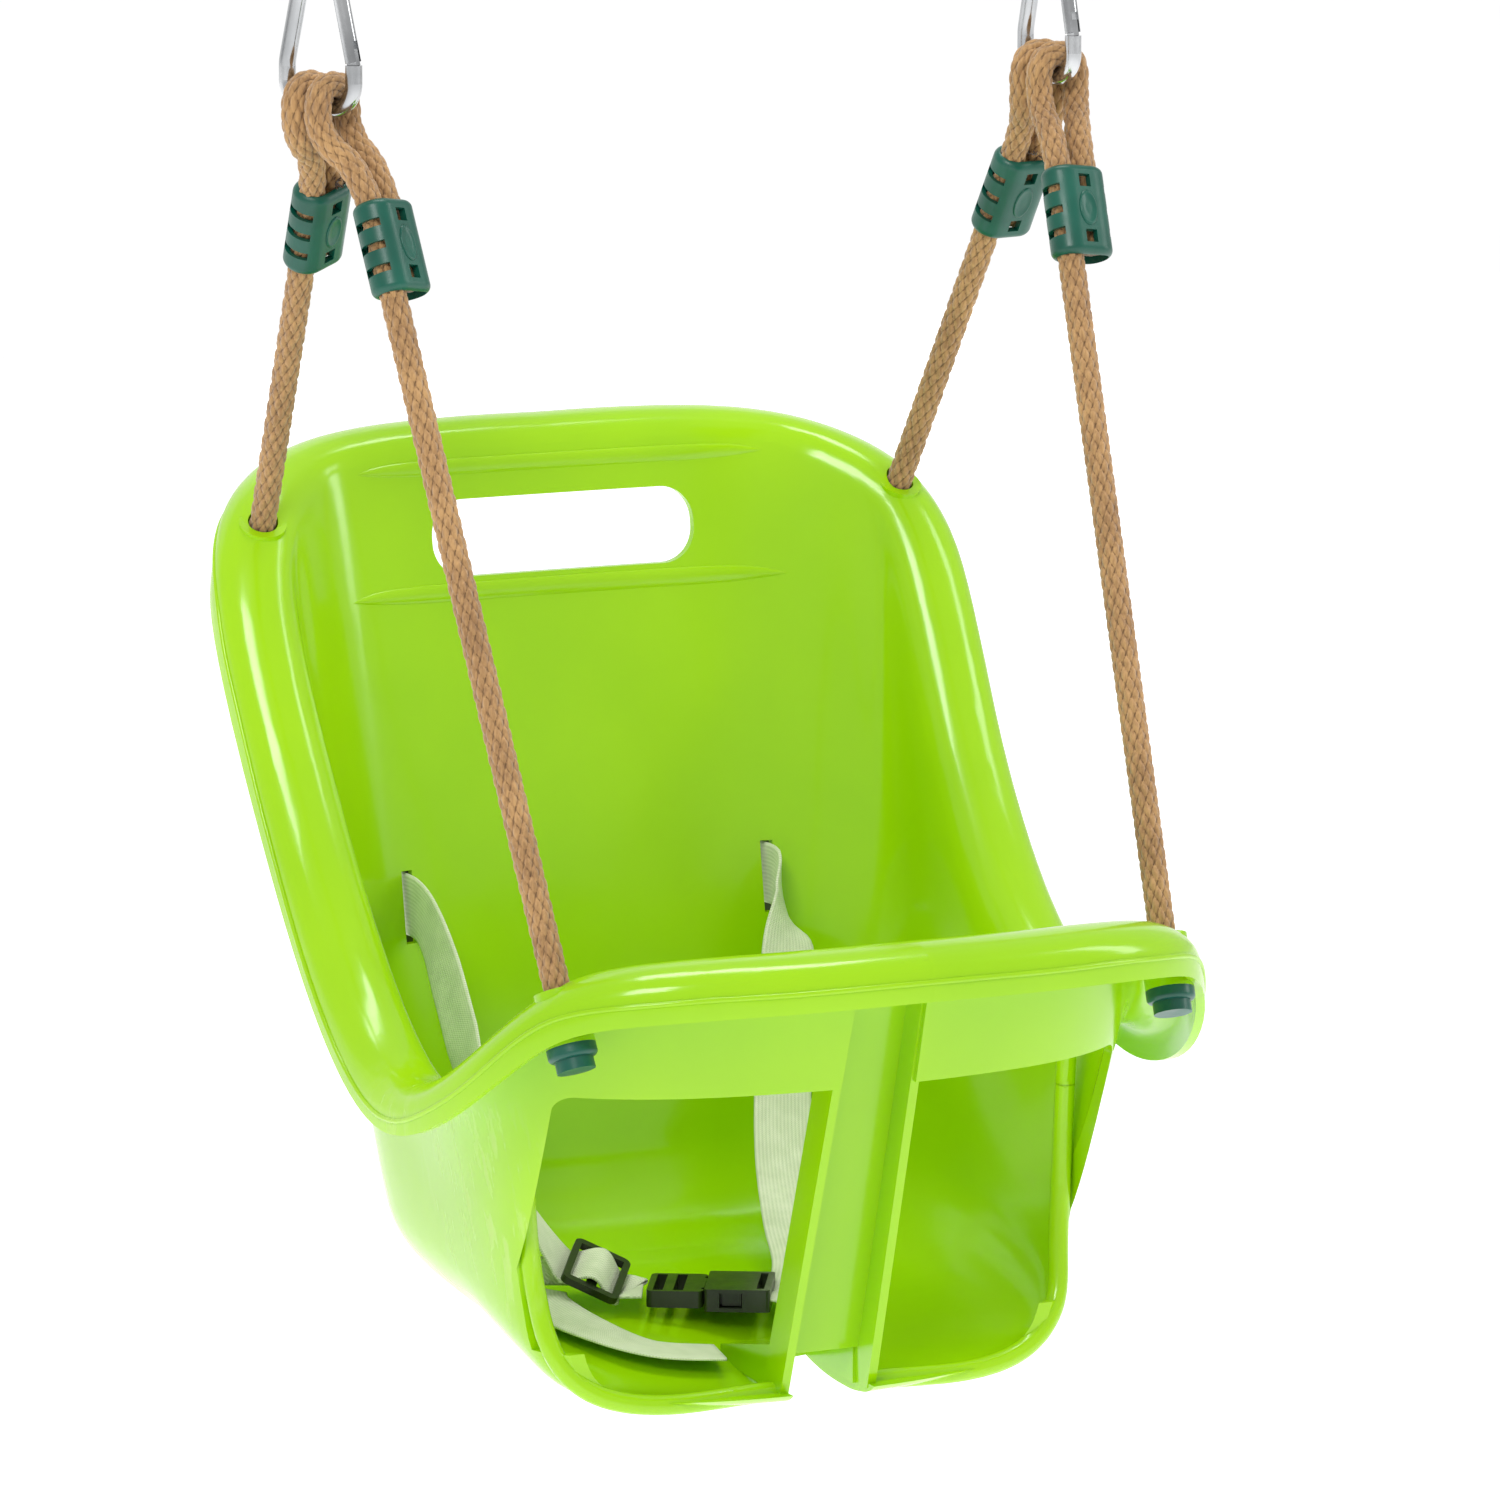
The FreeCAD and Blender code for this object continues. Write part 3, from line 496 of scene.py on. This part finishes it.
# Half of the rim's crest in millimetres, from the middle of the back round to the front rail.
RIM = [(0, 149, -209), (55, 148, -209), (110, 140, -215), (144, 103, -236), (147, 75, -282),
       (145, 40, -342), (145, -8, -400), (147, -66, -432), (144, -114, -417), (127.6, -155, -380),
       (95, -182, -370), (50, -194, -368)]
RIM_FRONT = (0, -198, -367)
RIM_STEPS = 12          # points from one station of the crest to the next
BEAD_RADIUS = 0.0011
BEAD_DROP = 0.0125      # the bead runs this far below the crest
BEAD_OUT = 0.017        # and this far outside it, where the skirt isn't found
LOOK_FROM = 0.030       # the skirt is looked for from this far out
SEAT_MIDDLE_Y = -0.02


def shell_tree():
    mesh = nodes["seat_shell"].data
    return BVHTree.FromPolygons([v.co for v in mesh.vertices], [tuple(f.vertices) for f in mesh.polygons])


def smoothed(points, closed, times):
    for _ in range(times):
        count = len(points)
        points = [points[i] if not closed and i in (0, count - 1) else
                  (points[i - 1] + points[i] * 2 + points[(i + 1) % count]) / 4 for i in range(count)]
    return points


def rim_bead(tree):
    """The fine moulded bead along the rim's skirt, all the way round."""
    stations = [mm(*p) for p in RIM] + [mm(*RIM_FRONT)] + [mm(-x, y, z) for x, y, z in RIM[:0:-1]]
    path = []
    for i in range(len(stations)):
        near = [stations[(i + k) % len(stations)] for k in (-1, 0, 1, 2)]
        path += [smooth_between(*near, s / RIM_STEPS) for s in range(RIM_STEPS)]
    found = []
    for i, p in enumerate(path):
        along = (path[(i + 1) % len(path)] - path[i - 1]).normalized()
        out = Vector((0, 0, 1)).cross(along).normalized()
        up = along.cross(out).normalized()
        if out.dot(Vector((p.x, p.y - SEAT_MIDDLE_Y, 0))) < 0:
            out = -out
        if up.z < 0:
            up = -up
        hit = tree.ray_cast(p + out * LOOK_FROM - up * BEAD_DROP, -out, LOOK_FROM)
        found.append(hit[0] if hit[0] else p + out * BEAD_OUT - up * BEAD_DROP)
    line = smoothed(found, True, 6)
    return tube("rim_bead", line + line[:1], BEAD_RADIUS)


RIDGE_STEPS = 80
RIDGE_SUNK = (0.0007, 0.0011)   # into the wall: all along, and how much more at the ends
RIDGE_FADE = 8                  # power of the fade: the higher, the closer to the ends it starts


def back_ridge(tree, name, height, reach, tall, deep=0.0016, around=16):
    """A low moulded ridge across the inside of the backrest, which fades into the wall at its ends."""
    found = []
    for i in range(RIDGE_STEPS + 1):
        x = -reach + 2 * reach * i / RIDGE_STEPS
        hit = tree.ray_cast(mm(x, 40, height), Vector((0, 1, 0)), 0.2)
        if hit[0]:
            sunk = RIDGE_SUNK[0] + RIDGE_SUNK[1] * abs(x / reach) ** RIDGE_FADE
            found.append(hit[0] + Vector((0, sunk, 0)))
    path = smoothed(found, False, 6)
    verts = []
    for p in path:
        fade = max(0.05, 1 - abs(p.x / (reach * MM)) ** RIDGE_FADE)
        for k in range(around):
            a = 2 * math.pi * k / around
            verts.append(p + Vector((0, deep * math.sin(a), tall * fade * math.cos(a))))
    return add_mesh(name, verts, skin(len(path), around))


FIBRE_COUNT = 26
FIBRE_HALF = 0.00022    # half a fibre's thickness
FIBRE_RING = 0.0035     # fibres start this far from the strand's middle


def frayed_fibres(name, centre, axis, seed):
    """Loose fibres that stand out where the rope's second strand goes into the top of its clamp."""
    draw = random.Random(seed)
    verts, faces = [], []
    side = axis.orthogonal().normalized()
    up = axis.cross(side)
    for _ in range(FIBRE_COUNT):
        angle = draw.uniform(0, 2 * math.pi)
        out = side * math.cos(angle) + up * math.sin(angle)
        p = centre + out * FIBRE_RING
        lean = (axis * draw.uniform(0.3, 1.0) + out * draw.uniform(0.3, 0.9)).normalized()
        long = draw.uniform(0.004, 0.009)
        w = lean.cross(out).normalized() * FIBRE_HALF
        d = lean.cross(w).normalized() * FIBRE_HALF
        base = len(verts)
        for share in (0.0, 0.5, 1.0):
            q = p + lean * (long * share) + out * (0.0015 * share * share)
            verts += [q - w - d, q + w - d, q + w + d, q - w + d]
        for ring in (0, 4):
            for k in range(4):
                n = (k + 1) % 4
                faces.append((base + ring + k, base + ring + n, base + ring + 4 + n, base + ring + 4 + k))
        faces.append((base + 3, base + 2, base + 1, base))
        faces.append((base + 8, base + 9, base + 10, base + 11))
    return add_mesh(name, verts, faces)


OVAL_HALF = (0.0040, 0.0072)    # across the clamp and along it
# Rings of the pad from its skirt to its middle: share of the oval, and distance from the clamp's axis.
OVAL_RINGS = ((1.0, 8.1), (1.0, 8.75), (0.94, 9.0), (0.84, 9.05), (0.78, 8.85), (0.3, 8.9))


def plain_oval(name, centre, axis, lie, segments=40):
    """A blank oval pad on the clamp's front face, between its two windows."""
    normal = axis.cross(lie).normalized()
    if normal.y > 0:
        normal = -normal
    verts = []
    for share, out in OVAL_RINGS:
        for k in range(segments):
            a = 2 * math.pi * k / segments
            flat = lie * (OVAL_HALF[0] * share * math.cos(a)) + axis * (OVAL_HALF[1] * share * math.sin(a))
            verts.append(centre + flat + normal * (out * MM))
    return add_mesh(name, verts, skin(len(OVAL_RINGS), segments))


CLAMP_LENGTH = 0.037
END_INSIDE = 0.003      # the rope's cut end is this far up inside the clamp


def clamp_place(route):
    """A rope's clamp: its middle, the top of its second strand, its axis, and how its strands lie."""
    hole, foot, cut = mm(*route[0]), mm(*route[1]), mm(*route[-1])
    axis = (foot - hole).normalized()
    apart = (hole - cut) - axis * (hole - cut).dot(axis)
    middle = cut + apart / 2 + axis * (CLAMP_LENGTH / 2 - END_INSIDE)
    top = middle + axis * (CLAMP_LENGTH / 2) - apart / 2
    return middle, top, axis, apart.normalized()


def make_details():
    tree = shell_tree()
    for piece in (rim_bead(tree), back_ridge(tree, "back_ridge_low", -277, 98, 0.0045),
                  back_ridge(tree, "back_ridge_high", -227, 92, 0.004)):
        place_piece(piece, "seat", LIME)
    for corner, (length, route) in ROPES.items():
        middle, top, axis, lie = clamp_place(route)
        place_piece(plain_oval("clamp_oval_" + corner, middle, axis, lie), "seat", GREEN)
        if corner.startswith("rear"):
            fibres = frayed_fibres("frayed_fibres_" + corner, top, axis, len(corner))
            place_piece(fibres, "seat", ROPE)


make_camera()
make_ropes()
make_straps()
make_details()

for node_name, node in nodes.items():
    paint(node, node_material(node_name))

WORLD_STRENGTH = 0.62
world = bpy.data.worlds.new("studio")
world.use_nodes = True
background = world.node_tree.nodes["Background"]
background.inputs["Color"].default_value = grey(1)
background.inputs["Strength"].default_value = WORLD_STRENGTH
scene.world = world
scene.view_settings.view_transform = "Standard"
area_light("key", (-1.4, -1.6, 1.5), (0.9, 0.9), 30)
area_light("side", (1.9, -0.8, 0.6), (0.4, 1.4), 10)
area_light("top", (0.2, 0.3, 1.7), (1.2, 0.4), 14)

floor = add_mesh("floor", [(-12, -12, -1.1), (12, -12, -1.1), (12, 12, -1.1), (-12, 12, -1.1)],
                 [(0, 1, 2, 3)], False)
paint(floor, shader("floor_white", Base_Color=grey(0.95), Roughness=0.9, Emission_Color=grey(1),
                    Emission_Strength=WORLD_STRENGTH)[0])
backdrop = add_mesh("backdrop", [(-8, 7, -3), (8, 7, -3), (8, 7, 6), (-8, 7, 6)], [(0, 1, 2, 3)], False)
paint(backdrop, shader("backdrop_white", Base_Color=grey(0), Roughness=1.0, Emission_Color=grey(1),
                       Emission_Strength=1.0)[0])
